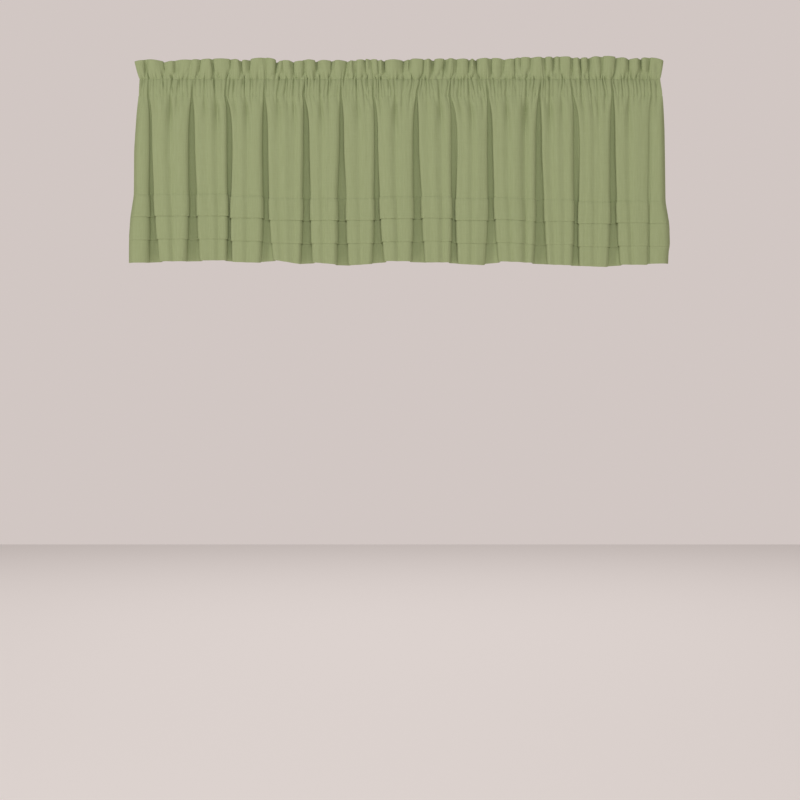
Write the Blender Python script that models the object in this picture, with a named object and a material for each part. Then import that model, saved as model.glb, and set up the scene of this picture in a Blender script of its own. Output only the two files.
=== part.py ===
"""Gathered window valance: a cotton-blend panel drawn up to half its width on a rod pocket.

The top of the panel is turned over and stitched twice, which leaves a double frill above
the rod and an open pocket around it. Below the pocket the cloth falls in fourteen soft
folds. Two tucks lie one over the other above a deep hem, like three steps.

Lengths in the tables are millimetres. The zero height is the stitching on top of the
pocket, the front faces -Y, and the cloth is centred on X = 0.
"""

from collections import namedtuple

import bmesh
import bpy
import numpy as np
from mathutils import Vector

MM = 0.001

FRILL_HALF = 0.95          # half the thickness of the doubled frill
POCKET_WALL = 1.5          # one gathered wall of the pocket
POCKET_DROP = 28.3         # from the upper stitching down to the lower stitching
POCKET_FRONT = 9.3         # how far the front wall stands off the rod's middle
POCKET_BACK = 10.4         # and the back wall, which is the turned-over layer
POCKET_SQUARENESS = 3.0    # 2 is a round section, more is flatter, as over a flat rod
POCKET_SHARES = (0.17, 0.50, 0.83)    # where the walls' points lie, as parts of the drop
SEAM_HALF = 1.1            # half the thickness where the layers are stitched together
SEAM_WEB = 2.6             # height over which the stitched layers stay closed
HOLLOW_SHARE = 0.9         # the hollow's points lie this much closer to its middle in height

FRILL_BULGE = 4.0          # how far the frill's lobes stand forward of the seam
CREASE_DIP = 1.0           # how much lower the top edge lies in a crease than on its lobe
CREASE_LEAN = 0.8          # below 1 a slanting crease leans most near the stitching
GATHER_DEPTH = 8.0         # a crease this deep makes a full gather in the pocket
MIDDLE_GATHER = 0.7        # strength of the gather below the middle of a wide lobe
POCKET_CREST = 0.8         # how far the pocket's wall swells between its gathers
POCKET_RIPPLE = 2.8        # and how far a gather sinks below that
NARROW_LOBE = 9.0          # a frill lobe below this width has one crest line
WIDE_LOBE = 18.0           # and above this width it has three, with a gather below the middle one

LIP_SHARE = 0.22           # how soon a fold's lip turns back, as a part of its depth
FOOT_SHARE = 0.26          # how soon its wall turns into the floor
FLOOR_DISH = 0.02          # how far its floor dips in the middle, as a part of its depth
UNDERCUT = 2.6             # how far a fold runs in behind its lips
DEEP_FOLD = 16.0           # a fold this deep or deeper runs in by all of that
FOOT_TURN = 3.4            # width of the turn from wall to floor
SHOULDER = 4.5             # width of the turn from lobe to lip
SHOULDER_SHARE = 0.14      # but no more than this part of a narrow lobe
LOBE_CROWN = 1.6           # how far a lobe bows out between its shoulders
GATHER_REACH = 4.5         # half the width of a small gather
REACH_SHARE = 0.10         # but no more than this part of a narrow lobe
CLOSEST = 1.4              # least space between two points on a lobe
SHARPEST_TURN = 0.8        # cosine that limits how far a sharp turn's corner stands out
SMOOTH_ANGLE = 1.05        # faces that meet at less than this angle are shaded as one
SIDE_CURL = 7.0            # how far the side hems turn back
TOP_DEPTH_SHARE = 0.12     # depth of a fold at the pocket, as a part of its depth lower down

# The frill. Each row is a crease: where it meets the top edge and the stitching, how deep
# it is, and how high the lobe to its right stands. A column of the heading adds how strong
# the gather below it is.
Crease = namedtuple("Crease", "top seam depth crest")
Column = namedtuple("Column", "top seam depth crest gather")
CREASES = (
    Crease(-410.0, -410.0, 6.0, 31.0),
    Crease(-381.0, -374.5, 10.0, 29.0),
    Crease(-362.5, -362.0, 5.0, 29.5),
    Crease(-334.0, -341.0, 3.0, 30.0),
    Crease(-318.0, -326.0, 7.0, 31.0),
    Crease(-299.0, -298.0, 9.0, 31.5),
    Crease(-274.0, -274.5, 5.0, 31.5),
    Crease(-251.5, -254.0, 10.0, 28.5),
    Crease(-237.0, -243.5, 10.0, 32.0),
    Crease(-214.5, -214.0, 5.0, 34.0),
    Crease(-200.0, -201.0, 10.0, 27.0),
    Crease(-188.5, -190.5, 6.0, 29.5),
    Crease(-168.5, -171.0, 9.0, 26.5),
    Crease(-157.5, -152.5, 10.0, 30.5),
    Crease(-138.0, -132.5, 8.0, 29.0),
    Crease(-113.0, -110.0, 10.0, 29.5),
    Crease(-87.5, -89.0, 10.0, 28.0),
    Crease(-69.0, -69.5, 7.0, 29.5),
    Crease(-53.0, -55.0, 5.0, 31.0),
    Crease(-45.5, -45.0, 9.0, 31.0),
    Crease(-35.0, -34.0, 6.0, 29.5),
    Crease(-23.0, -25.5, 10.0, 30.0),
    Crease(1.5, 4.5, 10.0, 30.5),
    Crease(10.5, 12.5, 8.0, 31.5),
    Crease(35.5, 35.0, 10.0, 31.0),
    Crease(55.5, 53.0, 9.0, 31.5),
    Crease(70.0, 69.0, 10.0, 32.0),
    Crease(94.0, 89.0, 11.0, 31.5),
    Crease(108.5, 108.0, 7.0, 31.0),
    Crease(124.5, 123.5, 10.0, 32.0),
    Crease(149.0, 146.0, 11.0, 33.0),
    Crease(170.0, 165.5, 7.0, 30.0),
    Crease(182.0, 184.0, 9.0, 33.5),
    Crease(193.5, 193.0, 6.0, 34.0),
    Crease(209.0, 209.0, 6.0, 34.0),
    Crease(234.5, 235.0, 9.0, 34.5),
    Crease(245.5, 246.5, 8.0, 35.0),
    Crease(257.0, 255.5, 8.0, 35.5),
    Crease(282.0, 277.0, 11.0, 33.0),
    Crease(292.0, 293.0, 9.0, 33.0),
    Crease(300.0, 305.0, 9.0, 34.5),
    Crease(327.5, 327.0, 7.0, 36.0),
    Crease(343.5, 345.5, 11.0, 34.0),
    Crease(370.0, 368.5, 8.0, 31.5),
    Crease(390.0, 387.0, 9.0, 33.0),
    Crease(405.0, 400.0, 9.0, 34.0),
)
FRILL_LEFT = Crease(-424.5, -418.5, 3.0, 29.5)
FRILL_RIGHT = Crease(422.5, 418.0, 3.0, 29.0)

# The frill's levels: height as a part of the lobe's crest, and how open its creases are.
FrillLevel = namedtuple("FrillLevel", "rise opening")
FRILL_LEVELS = (
    FrillLevel(1.00, 1.00),
    FrillLevel(0.46, 0.72),
    FrillLevel(0.03, 0.16),
)

# The skirt's levels: height, how far the folds have opened below the pocket, how strong
# the small gathers still are, how far the lobes stand forward, and the two side edges.
Level = namedtuple("Level", "height opening gather forward left right")
LEVELS = (
    Level(-28.6, 0.00, 0.35, 4.0, -418.5, 420.5),
    Level(-40.0, 0.20, 1.10, 5.6, -420.2, 421.8),
    Level(-56.0, 0.46, 1.10, 7.2, -422.2, 423.0),
    Level(-80.0, 0.78, 0.80, 8.6, -424.0, 424.2),
    Level(-115.0, 1.00, 0.45, 10.0, -426.2, 424.8),
    Level(-186.5, 1.00, 0.00, 11.2, -426.5, 425.6),
    Level(-222.0, 1.00, 0.00, 12.4, -432.0, 431.6),
    Level(-259.0, 1.00, 0.00, 12.8, -434.4, 432.6),
    Level(-296.0, 1.00, 0.00, 12.4, -434.6, 431.2),
)
FOLD_KNOTS = (115.0, 186.5, 296.0)    # drops at which the table of folds is read off

# The fourteen main folds: place of the middle at the pocket, at 115 mm, at the tuck's
# stitching and at the hem, half the gap between the lips, and the depth.
Fold = namedtuple(
    "Fold",
    "at_pocket at_high at_tuck at_hem gap_high gap_tuck gap_hem deep_high deep_tuck deep_hem",
)
FOLDS = (
    Fold(-404.0, -399.0, -398.0, -393.5, 3.6, 4.6, 9.5, 10.0, 15.0, 19.0),
    Fold(-333.5, -334.0, -332.0, -331.0, 6.0, 7.2, 12.8, 18.0, 20.0, 22.0),
    Fold(-280.5, -273.0, -273.5, -273.0, 6.4, 5.4, 8.0, 19.0, 19.0, 19.0),
    Fold(-218.0, -216.0, -214.5, -213.0, 5.6, 7.2, 13.4, 18.0, 18.0, 15.0),
    Fold(-155.0, -150.0, -149.5, -149.5, 6.0, 6.6, 11.2, 19.0, 20.0, 22.0),
    Fold(-95.0, -93.5, -93.0, -91.5, 4.6, 8.0, 11.2, 17.0, 20.0, 22.0),
    Fold(-43.5, -38.0, -37.0, -35.0, 4.2, 6.4, 10.8, 11.0, 17.0, 21.0),
    Fold(27.0, 25.5, 28.0, 29.5, 6.4, 8.0, 12.4, 18.0, 20.0, 22.0),
    Fold(79.0, 87.0, 86.0, 87.0, 6.4, 5.6, 8.0, 13.0, 16.0, 18.0),
    Fold(140.5, 144.5, 146.0, 147.0, 5.6, 6.8, 13.4, 17.0, 18.0, 16.0),
    Fold(223.5, 222.5, 224.0, 225.5, 5.6, 7.6, 12.4, 18.0, 20.0, 22.0),
    Fold(276.5, 283.0, 282.5, 282.0, 6.2, 5.2, 7.4, 13.0, 15.0, 16.0),
    Fold(341.5, 341.0, 342.0, 343.0, 5.2, 6.8, 12.0, 17.0, 18.0, 17.0),
    Fold(404.0, 400.5, 398.5, 398.5, 4.4, 5.4, 3.6, 5.0, 7.0, 10.0),
)
POCKET_GAP = 3.0           # half the gap between a fold's lips at the pocket

# The fifteen lobes between the folds: places and depths of the two small gathers under the
# pocket, how far the tucks droop at its left and right, the hem's rise there, and its stand.
Lobe = namedtuple(
    "Lobe", "first first_deep second second_deep droop_left droop_right hem_left hem_right stand"
)
LOBES = (
    Lobe(-414.5, 0.5, -410.5, 0.5, 0.8, 0.8, -0.5, -0.5, 1.00),
    Lobe(-391.0, 4.0, -369.0, 5.0, -0.5, -0.5, 1.8, 1.9, 1.05),
    Lobe(-314.5, 2.5, -298.5, 4.5, -0.8, -0.8, 3.2, 3.6, 0.95),
    Lobe(-267.5, 4.0, -245.0, 3.5, 2.4, 3.0, 0.9, -0.6, 1.00),
    Lobe(-197.5, 3.5, -176.5, 4.0, 6.0, 6.6, 4.0, -2.8, 1.10),
    Lobe(-143.0, 3.5, -127.5, 3.5, 6.4, 6.4, 0.3, -3.2, 0.95),
    Lobe(-71.0, 4.0, -57.0, 3.0, 6.4, 6.2, -4.8, -2.4, 1.00),
    Lobe(-33.5, 3.0, -8.5, 5.0, 3.8, 3.6, 2.2, 1.9, 1.05),
    Lobe(43.5, 2.5, 62.0, 4.0, 2.8, 3.0, -0.2, 0.2, 1.10),
    Lobe(94.0, 4.0, 116.5, 4.0, 6.2, 6.6, -2.4, -4.4, 0.95),
    Lobe(170.5, 3.0, 202.0, 4.5, 4.2, 8.0, 2.0, -0.6, 1.05),
    Lobe(241.5, 4.5, 260.0, 3.5, 8.0, 8.2, -3.2, -4.6, 1.00),
    Lobe(292.0, 4.0, 318.0, 4.5, 11.6, 12.0, -5.6, -7.4, 1.00),
    Lobe(360.5, 2.5, 376.0, 3.0, 10.4, 10.4, -3.4, -4.0, 1.05),
    Lobe(410.0, 1.5, 415.0, 2.0, 11.0, 11.2, -1.9, -1.6, 0.95),
)

# The skirt's front from the pocket down: height, share of the tucks' droop and of the
# hem's rise that it follows, and how far it stands off the middle of the cloth. A tuck
# starts thin at its stitching, is three layers thick at its folded edge and steps back.
Row = namedtuple("Row", "height droop rise offset")
FRONT_ROWS = (
    Row(-28.6, 0.0, 0.0, 0.65),
    Row(-40.0, 0.0, 0.0, 0.65),
    Row(-56.0, 0.0, 0.0, 0.65),
    Row(-80.0, 0.1, 0.0, 0.65),
    Row(-115.0, 0.4, 0.0, 0.65),
    Row(-186.5, 1.0, 0.0, 0.60),
    Row(-190.0, 1.0, 0.0, 1.90),
    Row(-221.4, 1.0, 0.0, 2.70),
    Row(-222.4, 1.0, 0.0, 0.70),
    Row(-226.5, 1.0, 0.0, 1.90),
    Row(-258.2, 1.0, 0.0, 2.70),
    Row(-259.2, 1.0, 0.0, 0.80),
    Row(-294.4, 0.0, 1.0, 1.15),
    Row(-295.9, 0.0, 1.0, 0.45),
)
BACK_ROWS = (
    Row(-28.6, 0.0, 0.0, 0.65),
    Row(-40.0, 0.0, 0.0, 0.65),
    Row(-56.0, 0.0, 0.0, 0.65),
    Row(-80.0, 0.1, 0.0, 0.65),
    Row(-115.0, 0.4, 0.0, 0.65),
    Row(-186.5, 1.0, 0.0, 0.65),
    Row(-222.0, 1.0, 0.0, 0.65),
    Row(-259.0, 1.0, 0.0, 1.10),
    Row(-294.4, 0.0, 1.0, 1.15),
    Row(-295.9, 0.0, 1.0, 0.45),
)


def mix(start, end, share):
    """The value a share of the way from start to end."""
    return start + (end - start) * share


def fold_at(fold, level):
    """Middle, half gap and depth of a main fold at one level."""
    drop = -level.height
    middle = np.interp(drop, FOLD_KNOTS, (fold.at_high, fold.at_tuck, fold.at_hem))
    gap = np.interp(drop, FOLD_KNOTS, (fold.gap_high, fold.gap_tuck, fold.gap_hem))
    depth = np.interp(drop, FOLD_KNOTS, (fold.deep_high, fold.deep_tuck, fold.deep_hem))
    middle = mix(fold.at_pocket, middle, level.opening)
    gap = mix(POCKET_GAP, gap, level.opening)
    depth = depth * mix(TOP_DEPTH_SHARE, 1.0, level.opening)
    return float(middle), float(gap), float(depth)


def lobe_points(lobe, level, start, end, front):
    """Eight points over a lobe: its shoulders, and three through each of its two gathers."""
    turn = min(SHOULDER, SHOULDER_SHARE * (end - start))
    reach = min(GATHER_REACH, REACH_SHARE * (end - start))
    gathered = []
    for place in (lobe.first, lobe.second):
        gathered += [place - reach, place, place + reach]
    points = [(start + turn, front)]
    for index, place in enumerate(gathered):
        share = (index + 1) / 7
        x = mix(mix(start + turn, end - turn, share), place, 1.0 - level.opening ** 2)
        x = min(max(x, points[-1][0] + CLOSEST), end - turn - (6 - index) * CLOSEST)
        bow = LOBE_CROWN * level.opening * 4.0 * share * (1.0 - share)
        deep = (0.0, lobe.first_deep, 0.0, 0.0, lobe.second_deep, 0.0)[index]
        points.append((x, front - bow + deep * level.gather))
    points.append((end - turn, front))
    return points


def fold_points(fold, level, left_front, right_front):
    """Seven points through a fold: lip, wall, foot, floor, foot, wall, lip."""
    middle, gap, depth = fold_at(fold, level)
    under = UNDERCUT * level.opening * min(1.0, depth / DEEP_FOLD)
    turn = min(FOOT_TURN, 0.5 * (gap + under))
    floor = 0.5 * (left_front + right_front) + depth
    foot = floor - FOOT_SHARE * depth
    return [
        (middle - gap, left_front + LIP_SHARE * depth),
        (middle - gap - under, foot),
        (middle - gap - under + turn, floor - FLOOR_DISH * depth),
        (middle, floor),
        (middle + gap + under - turn, floor - FLOOR_DISH * depth),
        (middle + gap + under, foot),
        (middle + gap, right_front + LIP_SHARE * depth),
    ]


def skirt_line(level):
    """The cloth's middle line seen from above at one level, left to right."""
    fronts = [-level.forward * lobe.stand for lobe in LOBES]
    folds = [fold_at(fold, level) for fold in FOLDS]
    starts = [level.left] + [middle + gap for middle, gap, _ in folds]
    ends = [middle - gap for middle, gap, _ in folds] + [level.right]
    line = []
    for index, lobe in enumerate(LOBES):
        line += lobe_points(lobe, level, starts[index], ends[index], fronts[index])
        if index < len(FOLDS):
            line += fold_points(FOLDS[index], level, fronts[index], fronts[index + 1])
    curl = SIDE_CURL * level.opening
    line[0] = (level.left, fronts[0] + curl)
    line[-1] = (level.right, fronts[-1] + curl)
    return np.array(line)


def outward(line):
    """For each point of a line the direction to its front, longer at the sharp turns."""
    steps = np.diff(line, axis=0)
    steps /= np.linalg.norm(steps, axis=1)[:, None]
    sides = np.stack([steps[:, 1], -steps[:, 0]], axis=1)
    before = np.vstack([sides[:1], sides])
    after = np.vstack([sides, sides[-1:]])
    normal = before + after
    normal /= np.linalg.norm(normal, axis=1)[:, None]
    stretch = 1.0 / np.maximum(SHARPEST_TURN, (normal * after).sum(axis=1))
    return normal * stretch[:, None]


def column_table(left_name, right_name):
    """One value for each column, from the lobes' values at their left and right."""
    values = []
    for index, lobe in enumerate(LOBES):
        left = getattr(lobe, left_name)
        right = getattr(lobe, right_name)
        values += [mix(left, right, share / 7) for share in range(8)]
        if index < len(FOLDS):
            following = getattr(LOBES[index + 1], left_name)
            values += [mix(right, following, share / 8) for share in range(1, 8)]
    return np.array(values)


def level_line(height):
    """The skirt's line and its front directions at any height, read between two levels."""
    heights = [-level.height for level in LEVELS]
    drop = min(max(-height, heights[0]), heights[-1])
    after = max(1, int(np.searchsorted(heights, drop)))
    share = (drop - heights[after - 1]) / (heights[after] - heights[after - 1])
    upper = LINES[after - 1]
    lower = LINES[after]
    line = mix(upper, lower, share)
    return line, mix(outward(upper), outward(lower), share)


def skirt_sections():
    """For each column of the skirt its outline: down the front and up the back."""
    droop = column_table("droop_left", "droop_right")
    rise = column_table("hem_left", "hem_right")
    rows = []
    for row, side in [(row, 1.0) for row in FRONT_ROWS] + [(row, -1.0) for row in BACK_ROWS[::-1]]:
        line, normal = level_line(row.height)
        flat = line + normal * row.offset * side
        height = row.height - droop * row.droop + rise * row.rise
        rows.append(np.column_stack([flat, height]))
    return np.stack(rows, axis=1)


def crease_columns():
    """Columns of the heading: the creases, with one to three crest lines between them."""
    stops = (FRILL_LEFT,) + CREASES + (FRILL_RIGHT,)
    columns = []
    for crease, following in zip(stops, stops[1:]):
        width = following.seam - crease.seam
        count = 1 if width < NARROW_LOBE else 2 if width < WIDE_LOBE else 3
        gather = min(1.0, crease.depth / GATHER_DEPTH)
        columns.append(Column(*crease[:3], crease.crest - CREASE_DIP, gather))
        for step in range(1, count + 1):
            share = step / (count + 1)
            top = mix(crease.top, following.top, share)
            seam = mix(crease.seam, following.seam, share)
            gather = MIDDLE_GATHER if count == 3 and step == 2 else 0.0
            columns.append(Column(top, seam, 0.0, crease.crest, gather))
    columns.append(Column(*FRILL_RIGHT, 0.0))
    return columns


def fullness(share):
    """Half depth of the pocket, as a part of its greatest, at a share of its drop."""
    return (1.0 - abs(2.0 * share - 1.0) ** POCKET_SQUARENESS) ** (1.0 / POCKET_SQUARENESS)


def heading_sections():
    """For each column of the heading its outline and the outline of the pocket's hollow."""
    columns = crease_columns()
    tops = np.array([column.top for column in columns])
    seams = np.array([column.seam for column in columns])
    depths = np.array([column.depth for column in columns])
    crests = np.array([column.crest for column in columns])
    lower_seam = np.interp(seams, LINES[0][:, 0], LINES[0][:, 1])
    wave = depths - FRILL_BULGE

    front = []
    back = []
    for level in FRILL_LEVELS:
        reach = level.rise ** CREASE_LEAN
        line = np.column_stack([mix(seams, tops, reach), wave * level.opening])
        normal = outward(line)
        height = crests * level.rise
        half = SEAM_HALF if level is FRILL_LEVELS[-1] else FRILL_HALF
        front.append(np.column_stack([line + normal * half, height]))
        back.append(np.column_stack([line - normal * half, height]))

    upper_seam = wave * FRILL_LEVELS[-1].opening
    ripple = POCKET_CREST - POCKET_RIPPLE * np.array([column.gather for column in columns])
    hollow_front = []
    hollow_back = []
    hollow_top = np.column_stack([seams, upper_seam, np.full(len(seams), -SEAM_WEB)])
    hollow_end = np.column_stack([seams, lower_seam, np.full(len(seams), SEAM_WEB - POCKET_DROP)])
    for share in POCKET_SHARES:
        middle = mix(upper_seam, lower_seam, share ** 2)
        outer_front = POCKET_FRONT * fullness(share) + ripple
        outer_back = POCKET_BACK * fullness(share) + ripple
        wall = POCKET_WALL / fullness(share)
        height = np.full(len(seams), -POCKET_DROP * share)
        inner_height = np.full(len(seams), -POCKET_DROP * mix(0.5, share, HOLLOW_SHARE))
        front.append(np.column_stack([seams, middle - outer_front, height]))
        back.append(np.column_stack([seams, middle + outer_back, height]))
        hollow_front.append(np.column_stack([seams, middle - outer_front + wall, inner_height]))
        hollow_back.append(np.column_stack([seams, middle + outer_back - wall, inner_height]))
    foot = np.full(len(seams), -POCKET_DROP)
    front.append(np.column_stack([seams, lower_seam - SEAM_HALF, foot]))
    back.append(np.column_stack([seams, lower_seam + SEAM_HALF, foot]))

    outline = np.stack(front + back[::-1], axis=1)
    hollow = np.stack([hollow_top] + hollow_front + [hollow_end] + hollow_back[::-1], axis=1)
    return outline, hollow


def add_grid(mesh, sections):
    """Vertices for every section, with faces between neighbours, all cut the same way."""
    grid = [[mesh.verts.new(Vector(point) * MM) for point in section] for section in sections]
    for left, right in zip(grid, grid[1:]):
        count = len(left)
        for index in range(count):
            following = (index + 1) % count
            corners = (left[index], right[index], right[following], left[following])
            falls = left[index].co.z + right[index].co.z > left[following].co.z + right[following].co.z
            if falls:
                mesh.faces.new((corners[0], corners[1], corners[2]))
                mesh.faces.new((corners[0], corners[2], corners[3]))
            else:
                mesh.faces.new((corners[0], corners[1], corners[3]))
                mesh.faces.new((corners[1], corners[2], corners[3]))
    return grid


def close_between(mesh, first, second):
    """Triangles that join two rows of vertices, walking down both by height."""
    left = 0
    right = 0
    while left < len(first) - 1 or right < len(second) - 1:
        at_end = right == len(second) - 1
        step_left = left < len(first) - 1 and (
            at_end or first[left + 1].co.z > second[right + 1].co.z
        )
        if step_left:
            if first[left] != second[right] and first[left + 1] != second[right]:
                mesh.faces.new((first[left], first[left + 1], second[right]))
            left += 1
        else:
            if first[left] != second[right] and first[left] != second[right + 1]:
                mesh.faces.new((first[left], second[right], second[right + 1]))
            right += 1


def cloth_material(name, colour, roughness):
    """A matt woven cloth."""
    material = bpy.data.materials.new(name)
    material.use_nodes = True
    shader = material.node_tree.nodes["Principled BSDF"]
    shader.inputs["Base Color"].default_value = (*colour, 1.0)
    shader.inputs["Roughness"].default_value = roughness
    shader.inputs["Metallic"].default_value = 0.0
    material.diffuse_color = (*colour, 1.0)
    return material


def add_piece(name, mesh, material):
    """Turn a closed bmesh into a smooth-shaded object."""
    bmesh.ops.recalc_face_normals(mesh, faces=mesh.faces)
    data = bpy.data.meshes.new(name)
    mesh.to_mesh(data)
    mesh.free()
    data.materials.append(material)
    data.shade_smooth()
    data.set_sharp_from_angle(angle=SMOOTH_ANGLE)
    piece = bpy.data.objects.new(name, data)
    bpy.context.scene.collection.objects.link(piece)
    return piece


for old in list(bpy.data.objects):
    bpy.data.objects.remove(old, do_unlink=True)

LINES = [skirt_line(level) for level in LEVELS]

sage = cloth_material("sage_plain_weave", (0.305, 0.361, 0.165), 0.9)

# The heading: the turned-over top of the panel, with its frill and the pocket below it.
heading = bmesh.new()
outlines, hollows = heading_sections()
outer_grid = add_grid(heading, outlines)
inner_grid = add_grid(heading, hollows)
frill_count = len(FRILL_LEVELS)
wall_count = len(POCKET_SHARES)
for outer_end, inner_end in ((outer_grid[0], inner_grid[0]), (outer_grid[-1], inner_grid[-1])):
    front_side = outer_end[:frill_count + wall_count + 1]
    back_side = outer_end[:frill_count + wall_count:-1]
    close_between(heading, front_side[:frill_count], back_side[:frill_count])
    inner_front = inner_end[:wall_count + 2]
    inner_back = [inner_end[0]] + inner_end[:wall_count:-1]
    close_between(heading, front_side[frill_count - 1:], inner_front)
    close_between(heading, back_side[frill_count - 1:], inner_back)
    heading.faces.new((front_side[frill_count - 1], back_side[frill_count - 1], inner_end[0]))
    heading.faces.new((front_side[-1], back_side[-1], inner_front[-1]))
add_piece("heading", heading, sage)

# The skirt: the single cloth below the pocket, with its folds, tucks and hem.
skirt = bmesh.new()
skirt_grid = add_grid(skirt, skirt_sections())
for end in (skirt_grid[0], skirt_grid[-1]):
    front_side = end[:len(FRONT_ROWS)]
    back_side = end[:len(FRONT_ROWS) - 1:-1]
    close_between(skirt, front_side, back_side)
add_piece("skirt", skirt, sage)
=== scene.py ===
"""Looks of the gathered valance: thin sage-green cloth, drawn up on a rod pocket.

It hangs as one panel: a ruffled heading, fourteen soft folds, two tucks that lie one over
the other, and a deep hem. Lengths in the tables are millimetres, and the script works in
metres. Zero height is the stitching on top of the pocket, and the front faces -Y.
"""

import math
from collections import namedtuple

import bpy
import numpy as np
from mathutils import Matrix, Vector


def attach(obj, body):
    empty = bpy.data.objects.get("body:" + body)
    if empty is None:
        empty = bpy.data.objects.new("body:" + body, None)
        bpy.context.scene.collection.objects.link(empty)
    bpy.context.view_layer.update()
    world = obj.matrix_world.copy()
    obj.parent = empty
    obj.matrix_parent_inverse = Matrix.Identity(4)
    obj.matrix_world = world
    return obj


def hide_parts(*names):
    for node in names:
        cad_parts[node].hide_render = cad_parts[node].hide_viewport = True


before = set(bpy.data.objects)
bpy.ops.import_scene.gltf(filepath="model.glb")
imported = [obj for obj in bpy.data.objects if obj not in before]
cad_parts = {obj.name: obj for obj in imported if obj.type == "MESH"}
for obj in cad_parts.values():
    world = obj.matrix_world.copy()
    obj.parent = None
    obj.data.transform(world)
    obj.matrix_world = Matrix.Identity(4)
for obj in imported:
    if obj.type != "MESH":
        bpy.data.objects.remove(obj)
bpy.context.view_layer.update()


# Camera. It stands 2.7 m in front of the cloth and half a metre below the pocket, level,
# so the cloth shows high in the frame and a little from below.
camera_data = bpy.data.cameras.new("camera")
camera_data.lens = 75.6
camera_data.sensor_width = 36.0
camera = bpy.data.objects.new("camera", camera_data)
camera.location = (0.0, -2.7, -0.516)
camera.rotation_euler = (math.radians(90.0), 0.0, 0.0)
bpy.context.scene.collection.objects.link(camera)
bpy.context.scene.camera = camera


# Skirt. One layer of plain-weave cloth from the pocket down to the folded edge of the
# upper tuck. It is drawn up by the pocket's stitching, and its gathers run out below it
# into fourteen soft folds.
MM = 0.001
FLAT_WIDTH = 1473.0        # the panel's width before it was gathered
SMOOTH_ANGLE = 1.1         # the cut rims of a sheet stay sharp
CLOTH_THICKNESS = 0.42
SEAM_DROP = 28.3           # from the upper stitching down to the lower stitching
TUCK_SEAM = -186.5         # height of the upper tuck's stitching
LEVEL_STEP = 2.0           # the hanging shape is worked out every 2 mm of height

# Height, how far the folds have opened, how far the lobes stand forward, the side edges.
Level = namedtuple("Level", "height opening forward left right")
LEVELS = (
    Level(-26.0, 0.00, 7.2, -418.3, 420.3),
    Level(-30.0, 0.12, 7.4, -418.8, 420.7),
    Level(-36.0, 0.34, 7.8, -419.6, 421.3),
    Level(-44.0, 0.58, 8.3, -420.8, 422.2),
    Level(-56.0, 0.80, 8.8, -422.2, 423.0),
    Level(-80.0, 0.95, 9.4, -424.0, 424.2),
    Level(-115.0, 1.00, 10.2, -426.2, 424.8),
    Level(-186.5, 1.00, 11.2, -426.5, 425.6),
    Level(-222.0, 1.00, 12.2, -432.0, 431.6),
    Level(-259.0, 1.00, 12.6, -434.4, 432.6),
    Level(-267.0, 1.00, 12.6, -434.5, 430.8),
    Level(-302.0, 1.00, 12.4, -434.6, 429.8),
)
FOLD_KNOTS = (115.0, 186.5, 296.0)

# The fourteen folds: place of the middle at the pocket, at 115 mm, at the upper tuck's
# stitching and at the hem, half the gap between the lips, and the depth.
Fold = namedtuple(
    "Fold",
    "at_pocket at_high at_tuck at_hem gap_high gap_tuck gap_hem deep_high deep_tuck deep_hem",
)
FOLDS = (
    Fold(-404.0, -399.0, -398.0, -393.0, 2.0, 4.0, 9.4, 9.0, 14.0, 18.0),
    Fold(-333.5, -334.0, -332.0, -331.0, 5.0, 6.4, 11.4, 17.0, 19.0, 21.0),
    Fold(-280.5, -273.0, -273.5, -273.0, 4.4, 3.2, 5.4, 16.0, 16.0, 17.0),
    Fold(-218.0, -216.0, -214.5, -212.2, 4.6, 4.8, 11.0, 17.0, 18.0, 15.0),
    Fold(-155.0, -150.0, -149.5, -149.5, 4.7, 6.3, 10.4, 18.0, 19.0, 21.0),
    Fold(-95.0, -93.5, -93.0, -91.5, 3.6, 7.2, 10.0, 16.0, 19.0, 21.0),
    Fold(-43.5, -38.0, -37.0, -34.5, 2.7, 4.6, 10.4, 11.0, 16.0, 20.0),
    Fold(27.0, 25.5, 28.0, 29.5, 4.6, 6.6, 11.4, 17.0, 19.0, 21.0),
    Fold(79.0, 87.0, 86.0, 87.0, 4.8, 3.5, 6.6, 13.0, 15.0, 17.0),
    Fold(140.5, 144.5, 146.0, 147.0, 4.2, 4.9, 11.6, 16.0, 17.0, 15.0),
    Fold(223.5, 222.5, 224.0, 225.5, 4.7, 6.6, 11.2, 17.0, 19.0, 21.0),
    Fold(276.5, 283.0, 282.5, 282.0, 4.8, 3.7, 6.0, 13.0, 15.0, 16.0),
    Fold(341.5, 341.0, 342.0, 343.0, 4.0, 5.2, 10.6, 16.0, 17.0, 16.0),
    Fold(404.0, 400.5, 398.5, 398.0, 2.6, 2.4, 2.6, 2.6, 3.0, 3.8),
)
POCKET_GAP = 1.8           # half the gap between the lips at the pocket
DEPTH_SHARES = (0.76, 0.78, 0.94)  # of the depths above, at the fold knots
POCKET_DEPTH_SHARE = 0.12
GAP_GROWTH = 2.2           # powers of the opening, by which a fold widens and deepens
DEPTH_GROWTH = 1.4
LEFT_LIP_SHARE = 0.10      # how far a lobe's rim turns in, as a part of the fold's depth
RIGHT_LIP_SHARE = 0.24
FOOT_SHARE = 0.26          # where a fold's walls turn into its floor
UNDERCUT = 2.2             # a deep fold is wider behind its lips than at them
DEEP_FOLD = 16.0
FOOT_TURN = 3.4
LEFT_SHOULDER = 3.6        # width of a lobe's rounded rims
RIGHT_SHOULDER = 7.0
SHOULDER_SHARE = 0.2       # at most this part of the lobe's width
LOBE_CROWN = 2.6
SIDE_CURL = 7.0            # how far the panel's side edges turn back
SIDE_CURL_REACH = 7.0
EDGE_REACH = 14.0
FOLD_SAMPLES = 18          # columns of the cloth through one fold
FOLD_SHARES = (0.0, 0.24, 0.35, 0.5, 0.65, 0.76, 1.0)

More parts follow.
